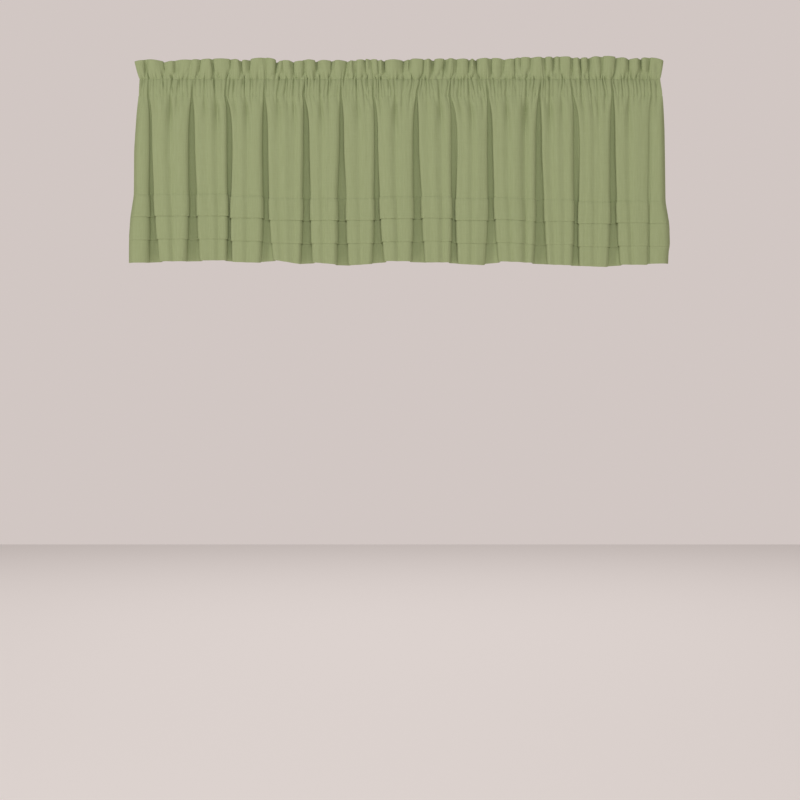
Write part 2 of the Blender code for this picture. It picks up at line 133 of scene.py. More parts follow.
# The fifteen lobes between the folds: how far the tucks droop at the left and right, the
# hem's rise there, and how far the lobe stands forward of the others.
Lobe = namedtuple("Lobe", "droop_left droop_right hem_left hem_right stand")
LOBES = [Lobe(*values) for values in (
    (0.8, 0.8, -0.5, -0.5, 1.00), (-0.5, -0.5, 1.8, 1.9, 1.05), (-0.8, -0.8, 3.2, 3.6, 0.95),
    (2.4, 3.0, 0.9, -0.6, 1.00), (6.0, 6.6, 4.0, -2.8, 1.10), (6.4, 6.4, 0.3, -3.2, 0.95),
    (6.4, 6.2, -4.8, -2.4, 1.00), (3.8, 3.6, 2.2, 1.9, 1.05), (2.8, 3.0, -0.2, 0.2, 1.10),
    (6.2, 6.6, -2.4, -4.4, 0.95), (4.2, 8.0, 2.0, -0.6, 1.05), (8.0, 8.2, -3.2, -4.6, 1.00),
    (11.6, 12.0, -5.6, -7.4, 1.00), (10.4, 10.4, -3.4, -4.0, 1.05),
    (11.0, 11.2, -1.9, -1.6, 0.95),
)]

# The gathers that run on below the pocket, between the folds: place at the lower
# stitching, depth there, the drop at which they have run out, and how much is left of
# them below that, as a soft band down the lobe.
Gather = namedtuple("Gather", "place depth ends left_over")
GATHERS = [Gather(*values) for values in (
    (-394.5, 2.2, 62.0, 0.3), (-369.0, 3.6, 104.0, 0.9), (-358.0, 2.8, 70.0, 0.3),
    (-347.0, 2.2, 52.0, 0.0), (-314.0, 3.0, 74.0, 0.6), (-297.0, 3.8, 106.0, 1.0),
    (-268.0, 3.0, 68.0, 0.4), (-249.0, 3.4, 96.0, 0.8), (-240.0, 2.6, 62.0, 0.2),
    (-197.5, 3.4, 84.0, 0.7), (-181.5, 2.8, 66.0, 0.3), (-171.5, 3.2, 90.0, 0.7),
    (-144.0, 2.8, 60.0, 0.2), (-128.5, 3.2, 92.0, 0.8), (-115.5, 3.4, 72.0, 0.3),
    (-69.5, 3.6, 84.0, 0.7), (-58.0, 2.8, 64.0, 0.3), (-34.5, 3.0, 74.0, 0.2),
    (-8.0, 3.6, 98.0, 0.9), (3.5, 3.0, 72.0, 0.3), (16.5, 2.6, 58.0, 0.2),
    (43.0, 2.8, 66.0, 0.5), (62.5, 3.6, 92.0, 0.9), (92.0, 3.2, 72.0, 0.4),
    (110.5, 3.2, 94.0, 0.8), (120.5, 2.6, 58.0, 0.0), (131.0, 2.8, 64.0, 0.2),
    (153.0, 2.8, 60.0, 0.2), (170.5, 3.4, 92.0, 0.8), (202.5, 3.6, 100.0, 1.2),
    (213.0, 2.6, 62.0, 0.1), (240.0, 3.8, 100.0, 0.9), (258.5, 3.0, 74.0, 0.6),
    (290.5, 3.0, 78.0, 0.4), (307.0, 2.8, 66.0, 0.5), (317.0, 2.8, 84.0, 0.6),
    (329.5, 3.4, 62.0, 0.2), (351.5, 2.6, 58.0, 0.2), (368.0, 3.0, 84.0, 0.8),
    (376.5, 2.8, 66.0, 0.2), (388.0, 2.2, 52.0, 0.1), (412.0, 2.4, 64.0, 0.3),
)]
SHORT_SPACING = 5.6        # gathers that stay in the pocket fill the wider spaces
SHORT_DEPTH = 2.0
SHORT_END = 40.0
FOLD_GATHER_DEPTH = 2.0    # a fold is a deeper gather inside the pocket
FOLD_GATHER_END = 70.0
GATHER_STRENGTH = 1.15
GATHER_FADE = 1.2          # power by which a gather runs out
GATHER_ROUNDNESS = 1.3     # 2 would make it a round valley
GATHER_WIDTH = 0.95        # half the width of a gather at the stitching
GATHER_SPREAD = 0.065      # and how fast it widens below it
BAND_STRENGTH = 4.7        # depth of the soft band that goes on below a gather
BAND_LEFT = 9.5            # its reach to either side
BAND_RIGHT = 5.5
BAND_NARROW = 0.6          # the part of that reach which it has at the pocket
BAND_WIDENS = 60.0         # the drop over which it widens
BAND_START = 20.0          # the drop over which it deepens
BAND_HEAD = 0.3            # it is this much deeper again near its top
BAND_HEAD_DROP = 0.22      # in shares of its gather's end
BAND_HEAD_REACH = 0.4
COLUMN_SPACING = 1.1       # between the cloth's columns at the stitching
CLUSTER = 0.8              # the columns stand closer in the gathers than between them
SMOOTH_ACROSS = 2          # passes of smoothing over the hanging shape
SMOOTH_DOWN = 6
FOLD_LIFT = 1.0            # the hem is drawn up a little inside each fold
LIP_SWELL = 0.9            # stacked layers stand further off at the lips of the folds

rng = np.random.default_rng(11)


def mix(start, end, share):
    """The value a share of the way from start to end."""
    return start + (end - start) * share


def smoothed(values, passes, axis=0):
    """Values with each one drawn to its neighbours along an axis, and the two ends kept."""
    values = np.moveaxis(np.array(values, float), axis, 0)
    for _ in range(passes):
        inner = 0.25 * values[:-2] + 0.5 * values[1:-1] + 0.25 * values[2:]
        values = np.concatenate([values[:1], inner, values[-1:]])
    return np.moveaxis(values, 0, axis)


# Every gather at the lower stitching, from left to right: the listed ones, the folds and
# the short ones that fill the wider spaces.
valleys = [Gather(f.at_pocket, FOLD_GATHER_DEPTH, FOLD_GATHER_END, 0.0) for f in FOLDS]
valleys = sorted(valleys + GATHERS)
shorts = []
seam_left = LEVELS[0].left
seam_right = LEVELS[0].right
stops = [seam_left] + [gather.place for gather in valleys] + [seam_right]
for left, right in zip(stops, stops[1:]):
    count = int(round((right - left) / SHORT_SPACING)) - 1
    for step in range(count):
        place = mix(left, right, (step + 1) / (count + 1)) + rng.uniform(-1.4, 1.4)
        depth = SHORT_DEPTH * rng.uniform(0.5, 1.5)
        shorts.append(Gather(place, depth, SHORT_END + rng.uniform(-6.0, 12.0), 0.0))
valleys = sorted(valleys + shorts)

# The cloth's columns. One on a lobe keeps its share of the lobe's width all the way down,
# and one in a fold keeps its place along the fold's outline.
columns = []
for index in range(len(LOBES)):
    first = seam_left if index == 0 else FOLDS[index - 1].at_pocket + POCKET_GAP
    last = seam_right if index == len(FOLDS) else FOLDS[index].at_pocket - POCKET_GAP
    inside = [g.place for g in valleys if first + 1.5 < g.place < last - 1.5]
    stops = [first] + inside + [last]
    places = []
    for left, right in zip(stops, stops[1:]):
        count = max(5, int(round((right - left) / COLUMN_SPACING)))
        steps = np.arange(count) / count
        steps = mix(steps, 0.5 - 0.5 * np.cos(math.pi * steps), CLUSTER)
        places += list(mix(left, right, steps))
    places.append(last)
    for place in places:
        columns.append((index, (place - first) / (last - first), -1, 0.0, place))
    if index < len(FOLDS):
        for step in range(1, FOLD_SAMPLES):
            along = step / FOLD_SAMPLES
            columns.append((-1, 0.0, index, along, last + 2.0 * POCKET_GAP * along))
column_lobe, column_share, column_fold, column_along, column_place = np.array(columns).T
column_lobe = column_lobe.astype(int)
column_fold = column_fold.astype(int)
on_lobe = column_lobe >= 0


# Small puckers round the two rows of stitching, too many to place one by one: slanting dents
# a few millimetres wide that die out above and below. Some stand out instead, less far.
# Each zone has its lowest height, its highest and how many there are.
Pucker = namedtuple("Pucker", "place height slope width length depth")
PUCKER_ZONES = ((1.0, 8.0, 70), (-9.0, -2.0, 70), (-27.0, -17.0, 80), (-38.0, -29.0, 60))
PUCKER_DEPTH = 1.3
SUNKEN_CHANCE = 0.75
RAISED_SHARE = -0.6
puckers = []
for lowest, highest, count in PUCKER_ZONES:
    spacing = (seam_right - seam_left) / count
    for number in range(count):
        puckers.append(Pucker(
            place=seam_left + spacing * (number + rng.uniform(0.1, 0.9)),
            height=rng.uniform(lowest, highest),
            slope=rng.uniform(-0.35, 0.35),
            width=rng.uniform(1.3, 2.4),
            length=rng.uniform(5.0, 10.0),
            depth=PUCKER_DEPTH * rng.uniform(0.5, 1.2)
            * (1.0 if rng.uniform() < SUNKEN_CHANCE else RAISED_SHARE),
        ))


def pucker_relief(height):
    """How far the puckers sink into the cloth at a height, or at one for each column."""
    relief = np.zeros(len(column_place))
    for pucker in puckers:
        above = height - pucker.height
        away = (column_place - pucker.place - pucker.slope * above) / pucker.width
        relief += pucker.depth * np.exp(-away ** 2 - (above / pucker.length) ** 2)
    return relief


def level_value(name, height):
    """One of the levels' values at a height."""
    drops = [-level.height for level in LEVELS]
    return float(np.interp(-height, drops, [getattr(level, name) for level in LEVELS]))


def gather_relief(drop):
    """How far the gathers sink into the cloth at a drop below the upper stitching."""
    relief = np.zeros(len(column_place))
    below = max(0.0, drop - SEAM_DROP)
    for gather in valleys:
        share = max(0.0, 1.0 - below / (gather.ends - SEAM_DROP))
        away = column_place - gather.place
        width = GATHER_WIDTH + GATHER_SPREAD * below
        deep = GATHER_STRENGTH * gather.depth * share ** GATHER_FADE
        relief += deep * np.exp(-(np.abs(away / width) ** GATHER_ROUNDNESS))
        band = BAND_STRENGTH * gather.left_over * min(1.0, below / BAND_START)
        head = (below / gather.ends - BAND_HEAD_DROP) / BAND_HEAD_REACH
        band *= 1.0 + BAND_HEAD * math.exp(-(head ** 2))
        reach = np.where(away < 0.0, BAND_LEFT, BAND_RIGHT)
        reach = reach * mix(BAND_NARROW, 1.0, min(1.0, below / BAND_WIDENS))
        relief += band * np.exp(-((away / reach) ** 2))
    return relief


def hanging_line(height):
    """The cloth's line seen from above at one height, before it is smoothed."""
    opening = level_value("opening", height)
    forward = level_value("forward", height)
    drop = -height
    outlines = []
    for fold in FOLDS:
        middle = np.interp(drop, FOLD_KNOTS, (fold.at_high, fold.at_tuck, fold.at_hem))
        gap = np.interp(drop, FOLD_KNOTS, (fold.gap_high, fold.gap_tuck, fold.gap_hem))
        depth = np.interp(drop, FOLD_KNOTS, (fold.deep_high, fold.deep_tuck, fold.deep_hem))
        depth *= np.interp(drop, FOLD_KNOTS, DEPTH_SHARES)
        outlines.append((
            mix(fold.at_pocket, middle, opening),
            mix(POCKET_GAP, gap, opening ** GAP_GROWTH),
            depth * mix(POCKET_DEPTH_SHARE, 1.0, opening ** DEPTH_GROWTH),
        ))
    middles, gaps, depths = np.array(outlines).T
    fronts = np.array([-forward * lobe.stand for lobe in LOBES])
    starts = np.append(level_value("left", height), middles + gaps)
    ends = np.append(middles - gaps, level_value("right", height))

    line = np.zeros((len(column_place), 2))
    lobe = column_lobe[on_lobe]
    share = column_share[on_lobe]
    width = (ends - starts)[lobe]
    left_turn = np.minimum(LEFT_SHOULDER, SHOULDER_SHARE * width)
    right_turn = np.minimum(RIGHT_SHOULDER, SHOULDER_SHARE * width)
    lip_left = np.append(0.0, LEFT_LIP_SHARE * depths)[lobe]
    lip_right = np.append(RIGHT_LIP_SHARE * depths, 0.0)[lobe]
    from_left = np.clip(1.0 - share * width / left_turn, 0.0, 1.0) ** 2
    from_right = np.clip(1.0 - (1.0 - share) * width / right_turn, 0.0, 1.0) ** 2
    bow = LOBE_CROWN * opening * 4.0 * share * (1.0 - share)
    line[on_lobe, 0] = starts[lobe] + share * width
    line[on_lobe, 1] = fronts[lobe] + lip_left * from_left + lip_right * from_right - bow

    for index in range(len(FOLDS)):
        under = UNDERCUT * opening * min(1.0, depths[index] / DEEP_FOLD)
        half = gaps[index] + under
        foot_turn = min(FOOT_TURN, 0.5 * half)
        left_front = fronts[index]
        right_front = fronts[index + 1]
        floor = 0.5 * (left_front + right_front) + depths[index]
        foot = floor - FOOT_SHARE * depths[index]
        left_lip = RIGHT_LIP_SHARE * depths[index]
        right_lip = LEFT_LIP_SHARE * depths[index]
        across = (-gaps[index], -half, foot_turn - half, 0.0, half - foot_turn, half, gaps[index])
        back = (left_front + left_lip, foot, floor, floor, floor, foot, right_front + right_lip)
        mine = column_fold == index
        line[mine, 0] = middles[index] + np.interp(column_along[mine], FOLD_SHARES, across)
        line[mine, 1] = np.interp(column_along[mine], FOLD_SHARES, back)

    line[:, 1] += gather_relief(drop) + pucker_relief(height)
    left_turn = np.clip(1.0 - (line[:, 0] - starts[0]) / SIDE_CURL_REACH, 0.0, 1.0) ** 2
    right_turn = np.clip(1.0 - (ends[-1] - line[:, 0]) / SIDE_CURL_REACH, 0.0, 1.0) ** 2
    line[:, 1] += SIDE_CURL * opening * (left_turn + right_turn)
    return line


level_drops = np.arange(-LEVELS[0].height, 0.1 - LEVELS[-1].height, LEVEL_STEP)
hanging = np.stack([hanging_line(-drop) for drop in level_drops])
hanging = smoothed(smoothed(hanging, SMOOTH_ACROSS, axis=1), SMOOTH_DOWN)


def front_directions(line):
    """The direction to the cloth's front at each point of a line, straight at its ends."""
    run = np.gradient(line, axis=0)
    run /= np.linalg.norm(run, axis=1)[:, None]
    front = np.stack([run[:, 1], -run[:, 0]], axis=1)
    inward = np.minimum(line[:, 0] - line[0, 0], line[-1, 0] - line[:, 0])
    front[:, 0] *= np.clip(inward / EDGE_REACH, 0.0, 1.0)
    return smoothed(front, passes=2)


hanging_front = np.stack([front_directions(line) for line in hanging])


def lobe_values(left_name, right_name, passes):
    """One value for each column, from what the lobes have at their left and right."""
    lefts = np.array([getattr(lobe, left_name) for lobe in LOBES])
    rights = np.array([getattr(lobe, right_name) for lobe in LOBES])
    values = np.zeros(len(column_place))
    lobe = column_lobe[on_lobe]
    values[on_lobe] = mix(lefts[lobe], rights[lobe], column_share[on_lobe])
    fold = column_fold[~on_lobe]
    values[~on_lobe] = mix(rights[fold], lefts[fold + 1], column_along[~on_lobe])
    return smoothed(values, passes)


tuck_droop = lobe_values("droop_left", "droop_right", passes=12)
hem_rise = lobe_values("hem_left", "hem_right", passes=60)
hem_rise += smoothed(FOLD_LIFT * np.sin(math.pi * column_along) ** 2, passes=8)

# The tucks are pressed flatter in some places than in others.
lift_knots = np.linspace(seam_left, seam_right, 36)
layer_lift = np.interp(column_place, lift_knots, rng.uniform(0.75, 1.3, len(lift_knots)))
layer_lift = smoothed(layer_lift, passes=8)


def distance_along(points):
    """How far each point of a line is from its first, along the line."""
    return np.append(0.0, np.cumsum(np.linalg.norm(np.diff(points, axis=0), axis=1)))


def point_at(distance, along, points):
    """The point, or the points, at a distance along a line."""
    places = [np.interp(distance, along, points[:, axis]) for axis in range(3)]
    return np.stack(places, axis=-1)


def skirt_row(height, offset=0.0, droop=1.0, rise=0.0):
    """A row of the cloth: its nominal height, how far it stands off the hanging line, and its
    share of the tucks' droop and of the hem's rise."""
    drop = min(max(-height, level_drops[0]), level_drops[-1] - 0.001)
    place = (drop - level_drops[0]) / LEVEL_STEP
    upper = int(place)
    line = mix(hanging[upper], hanging[upper + 1], place - upper)
    front = mix(hanging_front[upper], hanging_front[upper + 1], place - upper)
    stand = offset * layer_lift[:, None] * (1.0 + LIP_SWELL * np.abs(front[:, :1]))
    flat = line + front * stand
    if offset:
        flat = smoothed(flat, passes=1)
    heights = height - tuck_droop * droop + hem_rise * rise
    return np.column_stack([flat, heights])


# The columns' places on the flat cloth, from their spacing half way down.
half_way = skirt_row(TUCK_SEAM)[:, :2]
flat_across = distance_along(half_way)
flat_across *= FLAT_WIDTH / flat_across[-1]


def lay_out(name, points, faces):
    """An object through points in millimetres, made the active one."""
    data = bpy.data.meshes.new(name)
    data.from_pydata((points * MM).tolist(), [], faces)
    piece = bpy.data.objects.new(name, data)
    bpy.context.scene.collection.objects.link(piece)
    bpy.ops.object.select_all(action="DESELECT")
    piece.select_set(True)
    bpy.context.view_layer.objects.active = piece
    return piece


def sew_sheet(name, rows, turned=False):
    """A sheet of cloth through rows of points, with its flat threads as UVs, in metres."""
    across = len(rows[0])
    down = [0.0]
    for above, below in zip(rows, rows[1:]):
        down.append(down[-1] + float(np.median(np.linalg.norm(below - above, axis=1))))
    faces = []
    for row in range(len(rows) - 1):
        for column in range(across - 1):
            corner = row * across + column
            around = (corner, corner + across, corner + across + 1, corner + 1)
            faces.append(around[::-1] if turned else around)
    piece = lay_out(name, np.concatenate(rows), faces)
    threads = piece.data.uv_layers.new(name="threads")
    corners = np.array([loop.vertex_index for loop in piece.data.loops])
    flat = flat_across if across == len(flat_across) else distance_along(rows[0])
    uv = np.column_stack([flat[corners % across], -np.array(down)[corners // across]])
    threads.data.foreach_set("uv", (uv * MM).ravel())
    solidify = piece.modifiers.new("thickness", "SOLIDIFY")
    solidify.thickness = CLOTH_THICKNESS * MM
    solidify.offset = 0.0
    solidify.use_even_offset = False
    bpy.ops.object.modifier_apply(modifier=solidify.name)
    bpy.ops.object.shade_smooth_by_angle(angle=SMOOTH_ANGLE)
    return piece


# Rows of the cloth: height, how far off the hanging line, and the shares of the tucks'
# droop and of the hem's rise, which are left out where they are 1 and 0.
Row = namedtuple("Row", "height offset droop", defaults=(1.0,))
SKIRT_ROWS = [Row(*values) for values in (
    (-28.3, 0.0, 0.0), (-29.2, 0.0, 0.0), (-30.6, 0.0, 0.0), (-32.6, 0.0, 0.0),
    (-35.2, 0.0, 0.0), (-38.5, 0.0, 0.0), (-42.0, 0.0, 0.01), (-46.0, 0.0, 0.02),
    (-51.0, 0.0, 0.03), (-57.0, 0.0, 0.04), (-64.0, 0.0, 0.06), (-72.0, 0.0, 0.09),
    (-81.0, 0.0, 0.13), (-91.0, 0.0, 0.20), (-102.0, 0.0, 0.29), (-115.0, 0.0, 0.40),
    (-128.0, 0.0, 0.53), (-141.0, 0.0, 0.66), (-153.0, 0.0, 0.77), (-164.0, 0.0, 0.86),
    (-173.0, 0.0, 0.93), (-180.0, 0.10, 0.98), (-184.2, 0.25), (-185.7, 0.20), (TUCK_SEAM, 0.0),
    (-187.3, 0.32), (-189.0, 0.66), (-193.0, 0.92), (-199.0, 1.10), (-206.0, 1.25),
    (-213.0, 1.34), (-218.0, 1.44), (-220.6, 1.52), (-221.7, 1.46), (-222.1, 1.20),
    (-221.8, 0.94), (-220.4, 0.88), (-214.0, 0.78), (-203.0, 0.66), (-190.5, 0.50),
)]
skirt = sew_sheet("skirt_cloth", [skirt_row(*row) for row in SKIRT_ROWS])


def linear(hex_colour):
    """An sRGB hex colour as linear red, green, blue and alpha."""
    parts = [int(hex_colour[place:place + 2], 16) / 255.0 for place in (0, 2, 4)]
    return [p / 12.92 if p <= 0.04045 else ((p + 0.055) / 1.055) ** 2.4 for p in parts] + [1.0]


def add_node(tree, kind, settings=None, links=None):
    """Add a node, set its properties and sockets by name, and link sockets into it."""
    node = tree.nodes.new(kind)
    for name, value in (settings or {}).items():
        if isinstance(name, str) and hasattr(node, name):
            setattr(node, name, value)
        else:
            node.inputs[name].default_value = value
    for name, source in (links or {}).items():
        tree.links.new(source, node.inputs[name])
    return node


# Cotton and polyester plain weave, dyed sage green: matt, with a faint bloom of fine
# fibres at the folds, slightly uneven threads, and no pattern.
THREAD_SPACING = 0.9       # real threads are 0.35 mm apart, drawn wider so that they show
SLUB_LENGTH = 38.0         # of the threads' thicker places
SLUB_WIDTH = 1.6
WEFT_SHARE = 0.35          # how much the weft's slubs count beside the warp's
CROSSING_SHARE = 0.35      # and the threads' crossings beside both
SAGE_LIGHT = "9da77d"
SAGE_DEEP = "96a075"

weave = bpy.data.materials.new("cotton_plain_weave_sage")
weave.use_nodes = True
tree = weave.node_tree
shader = tree.nodes["Principled BSDF"]
shader.inputs["Roughness"].default_value = 0.88
shader.inputs["Specular IOR Level"].default_value = 0.15
shader.inputs["Sheen Weight"].default_value = 0.06
shader.inputs["Sheen Roughness"].default_value = 0.5
shader.inputs["Sheen Tint"].default_value = linear("c3cda0")
threads = add_node(tree, "ShaderNodeUVMap", {"uv_map": "threads"})
slubs = []
for across, down in ((SLUB_WIDTH, SLUB_LENGTH), (SLUB_LENGTH, SLUB_WIDTH)):
    stretched = add_node(
        tree, "ShaderNodeMapping", {"Scale": (1000.0 / across, 1000.0 / down, 1.0)},
        {"Vector": threads.outputs["UV"]},
    )
    slubs.append(add_node(
        tree, "ShaderNodeTexNoise", {"Scale": 1.0, "Detail": 2.0},
        {"Vector": stretched.outputs["Vector"]},
    ))
warp_noise, weft_noise = slubs
thread_mix = add_node(
    tree, "ShaderNodeMath", {"operation": "MULTIPLY_ADD", 1: WEFT_SHARE},
    {0: weft_noise.outputs["Fac"], 2: warp_noise.outputs["Fac"]},
)
tone = add_node(
    tree, "ShaderNodeMapRange", {"From Min": 0.45, "From Max": 0.9},
    {"Value": thread_mix.outputs["Value"]},
)
colour = add_node(tree, "ShaderNodeMix", {"data_type": "RGBA"}, {0: tone.outputs["Result"]})
colour.inputs[6].default_value = linear(SAGE_DEEP)
colour.inputs[7].default_value = linear(SAGE_LIGHT)
tree.links.new(colour.outputs[2], shader.inputs["Base Color"])
parts = add_node(tree, "ShaderNodeSeparateXYZ", links={"Vector": threads.outputs["UV"]})
turn = math.pi * 1000.0 / THREAD_SPACING
waves = []
for axis in "XY":
    phase = add_node(
        tree, "ShaderNodeMath", {"operation": "MULTIPLY", 1: turn}, {0: parts.outputs[axis]}
    )
    waves.append(add_node(
        tree, "ShaderNodeMath", {"operation": "SINE"}, {0: phase.outputs["Value"]}
    ))
crossing = add_node(
    tree, "ShaderNodeMath", {"operation": "MULTIPLY"},
    {0: waves[0].outputs["Value"], 1: waves[1].outputs["Value"]},
)
relief = add_node(
    tree, "ShaderNodeMath", {"operation": "MULTIPLY_ADD", 1: CROSSING_SHARE},
    {0: crossing.outputs["Value"], 2: thread_mix.outputs["Value"]},
)
bump = add_node(
    tree, "ShaderNodeBump", {"Strength": 0.15, "Distance": 0.0002},
    {"Height": relief.outputs["Value"]},
)
tree.links.new(bump.outputs["Normal"], shader.inputs["Normal"])

skirt.data.materials.append(weave)
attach(skirt, "root")
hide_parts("skirt")


# Lower tuck. A fold across the same panel, stitched behind the upper tuck's folded edge
# and pressed down, so that it lies under the upper tuck like the next step.
UNDER_TUCK_SEAM = -219.5   # height of the lower tuck's stitching
TUCK_ROWS = (
    (-188.0, 0.05), (-196.0, 0.0), (-206.0, 0.0), (-215.0, 0.05), (UNDER_TUCK_SEAM, 0.15),
    (-221.0, 0.32), (-223.0, 0.58), (-227.0, 0.88), (-233.0, 1.04), (-240.0, 1.12),
    (-247.0, 1.18), (-253.0, 1.22), (-257.0, 1.24), (-258.7, 1.18), (-259.1, 0.96),
    (-258.8, 0.80), (-257.4, 0.76), (-251.0, 0.72), (-240.0, 0.64), (-226.0, 0.50),
)
lower_tuck = sew_sheet("lower_tuck", [skirt_row(*row) for row in TUCK_ROWS])
lower_tuck.data.materials.append(weave)
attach(lower_tuck, "root")


# Hem. The bottom of the panel, turned up to the back and stitched, with its raw edge
# turned under. Its stitching lies behind the lower tuck's folded edge.
HEM_SEAM = -257.5          # height of the hem's stitching
HEM_ROWS = (
    (-224.5, 0.0), (-235.0, 0.0), (-247.0, 0.05), (-255.0, 0.12), (-259.0, 0.36),
    (-263.0, 0.58, 0.92, 0.06), (-269.0, 0.65, 0.78, 0.2), (-276.0, 0.72, 0.58, 0.4),
    (-283.0, 0.72, 0.36, 0.64), (-289.0, 0.66, 0.17, 0.83), (-293.0, 0.58, 0.06, 0.94),
    (-295.0, 0.42, 0.0, 1.0), (-295.8, 0.05, 0.0, 1.0), (-295.4, -0.40, 0.0, 1.0),
    (-293.5, -0.58, 0.05, 0.95), (-288.0, -0.66, 0.2, 0.8), (-280.0, -0.72, 0.45, 0.55),
    (-270.0, -0.72, 0.75, 0.25), (-262.0, -0.70, 0.94, 0.05), (HEM_SEAM, -0.66),
    (-255.9, -0.62), (-255.6, -0.42), (-256.4, -0.30), (-262.0, -0.28, 0.94, 0.05),
)
hem = sew_sheet("hem", [skirt_row(*row) for row in HEM_ROWS])
hem.data.materials.append(weave)
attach(hem, "root")


# Side hems. The panel's two side edges, each turned to the back with its raw edge turned
# under, and stitched down before the tucks and the bottom hem were made.
SIDE_HEM_WIDTH = 12.0
SIDE_HEM_BACK = -0.98      # how far its middle lies behind the cloth's own
SIDE_HEM_START = 28.8      # drops below the upper stitching
SIDE_HEM_END = 254.5
# A side hem's section: how far in from the panel's edge, and how far off the cloth.
SIDE_PROFILE = (
    (0.1, 0.0), (-0.35, -0.22), (-0.45, -0.50), (-0.30, -0.80), (0.5, -0.95),
    (3.0, SIDE_HEM_BACK), (6.0, SIDE_HEM_BACK), (9.0, SIDE_HEM_BACK),
    (SIDE_HEM_WIDTH - 0.8, -0.95), (SIDE_HEM_WIDTH, -0.78), (SIDE_HEM_WIDTH - 0.4, -0.58),
    (SIDE_HEM_WIDTH - 3.0, -0.52), (SIDE_HEM_WIDTH - 6.0, -0.50),
)
side_drops = np.append(
    np.linspace(SIDE_HEM_START, 60.0, 13)[:-1], np.linspace(60.0, SIDE_HEM_END, 40)
)
down_to_tuck = SKIRT_ROWS[:24]
droop_drops = [-row.height for row in down_to_tuck]
side_droops = np.interp(side_drops, droop_drops, [row.droop for row in down_to_tuck])


def faces_of(line):
    """The direction away from the cloth's front at each point of a row."""
    return np.column_stack([front_directions(line[:, :2]), np.zeros(len(line))])


def beside_edge(line, side, inward, offset):
    """The point at a distance inward from a side edge of a row, and off the cloth's face."""
    inward_step = 1 if side < 0 else -1
    ordered = line[::inward_step]
    front = faces_of(line)[::inward_step]
    run = distance_along(ordered[:, :2])
    inside = max(inward, 0.0)
    point = point_at(inside, run, ordered)
    point[0] += side * (inside - inward)
    return point + point_at(inside, run, front) * offset


for name, side in (("left_side_hem", -1.0), ("right_side_hem", 1.0)):
    strips = []
    for drop, droop in zip(side_drops, side_droops):
        line = skirt_row(-drop, 0.0, droop)
        strips.append([beside_edge(line, side, *place) for place in SIDE_PROFILE])
    strip = sew_sheet(name, [np.array(points) for points in strips], side < 0)
    strip.data.materials.append(weave)
    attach(strip, "root")


# Heading. The top of the panel, turned over to the back and stitched twice: a ruffle of
# two layers above the upper stitching, and below it the pocket, open at both ends.
# Its creases: place at the top edge and at the stitching, depth, and height of the edge.
Crease = namedtuple("Crease", "top seam depth crest")
CREASES = [Crease(*values) for values in (
    (-427.5, -418.5, 3.0, 28.0), (-410.0, -410.0, 6.0, 31.0), (-383.5, -374.5, 10.0, 27.0),
    (-362.5, -362.0, 5.0, 29.5), (-334.0, -341.0, 3.0, 30.0), (-318.0, -326.0, 7.0, 31.0),
    (-299.0, -298.0, 9.0, 31.5), (-274.0, -274.5, 5.0, 31.5), (-251.5, -254.0, 10.0, 28.5),
    (-237.0, -243.5, 10.0, 32.0), (-214.5, -214.0, 5.0, 34.0), (-200.0, -201.0, 10.0, 27.0),
    (-188.5, -190.5, 6.0, 29.5), (-168.5, -171.0, 9.0, 26.5), (-157.5, -152.5, 10.0, 30.5),
    (-138.0, -132.5, 8.0, 29.0), (-113.0, -110.0, 10.0, 29.5), (-87.5, -89.0, 10.0, 28.0),
    (-69.0, -69.5, 7.0, 29.5), (-53.0, -55.0, 5.0, 31.0), (-45.5, -45.0, 9.0, 31.0),
    (-35.0, -34.0, 6.0, 29.5), (-23.0, -25.5, 10.0, 30.0), (1.5, 4.5, 10.0, 30.5),
    (10.5, 12.5, 8.0, 31.5), (35.5, 35.0, 10.0, 31.0), (55.5, 53.0, 9.0, 31.5),
    (70.0, 69.0, 10.0, 32.0), (94.0, 89.0, 11.0, 31.5), (108.5, 108.0, 7.0, 31.0),
    (124.5, 123.5, 10.0, 32.0), (149.0, 146.0, 11.0, 33.0), (170.0, 165.5, 7.0, 30.0),
    (182.0, 184.0, 9.0, 33.5), (193.5, 193.0, 6.0, 34.0), (209.0, 209.0, 6.0, 34.0),
    (234.5, 235.0, 9.0, 34.5), (245.5, 246.5, 8.0, 35.0), (257.0, 255.5, 8.0, 35.5),
    (282.0, 277.0, 11.0, 33.0), (292.0, 293.0, 9.0, 33.0), (300.0, 305.0, 9.0, 34.5),
    (327.5, 327.0, 7.0, 36.0), (343.5, 345.5, 11.0, 34.0), (370.0, 368.5, 8.0, 31.5),
    (390.0, 387.0, 9.0, 33.0), (405.0, 400.0, 9.0, 34.0), (423.5, 418.0, 3.0, 26.0),
)]
FRILL_BULGE = 4.0          # how far the ruffle's lobes stand forward
FRILL_FOOT = 0.12          # the part of it that they have at the stitching
FRILL_SPREAD = 0.8         # power by which the creases fan out
CREASE_STRENGTH = 1.5
CREASE_DIP = 0.18          # how far the top edge dips in a crease, by its depth
CREASE_ROOM = 2.0          # between two creases, at the least
DEEP_CREASE = 10.0
SLANT_LEAST = 1.5          # a crease that slants less leans to either side in turn
LOBE_FLATNESS = (0.35, 0.8)  # least and greatest, as powers of the lobe's arch
WIDE_LOBE = 16.0           # a lobe narrower than this has a lower arch
NARROW_ARCH = 0.75
LOBE_TILT = 4.0            # how far one rim of a lobe may stand before the other
CREST_EASE = 0.6
FRILL_GAP = 1.1            # between the middles of the ruffle's two layers
FRILL_PUFF = 0.8           # more of it half way up
LEAN = 4.2                 # how far a lobe of the ruffle lies over the crease beside it
LEAN_REACH = 2.6
WANDER = 2.4
WANDER_SHARE = 0.4         # of the room beside a gather, at the most
PAIR_REACH = 4.5           # a crease this near a gather runs on into it
POCKET_BACK = 10.4
POCKET_SQUARENESS = 3.0
FRONT_SWELL = 0.9
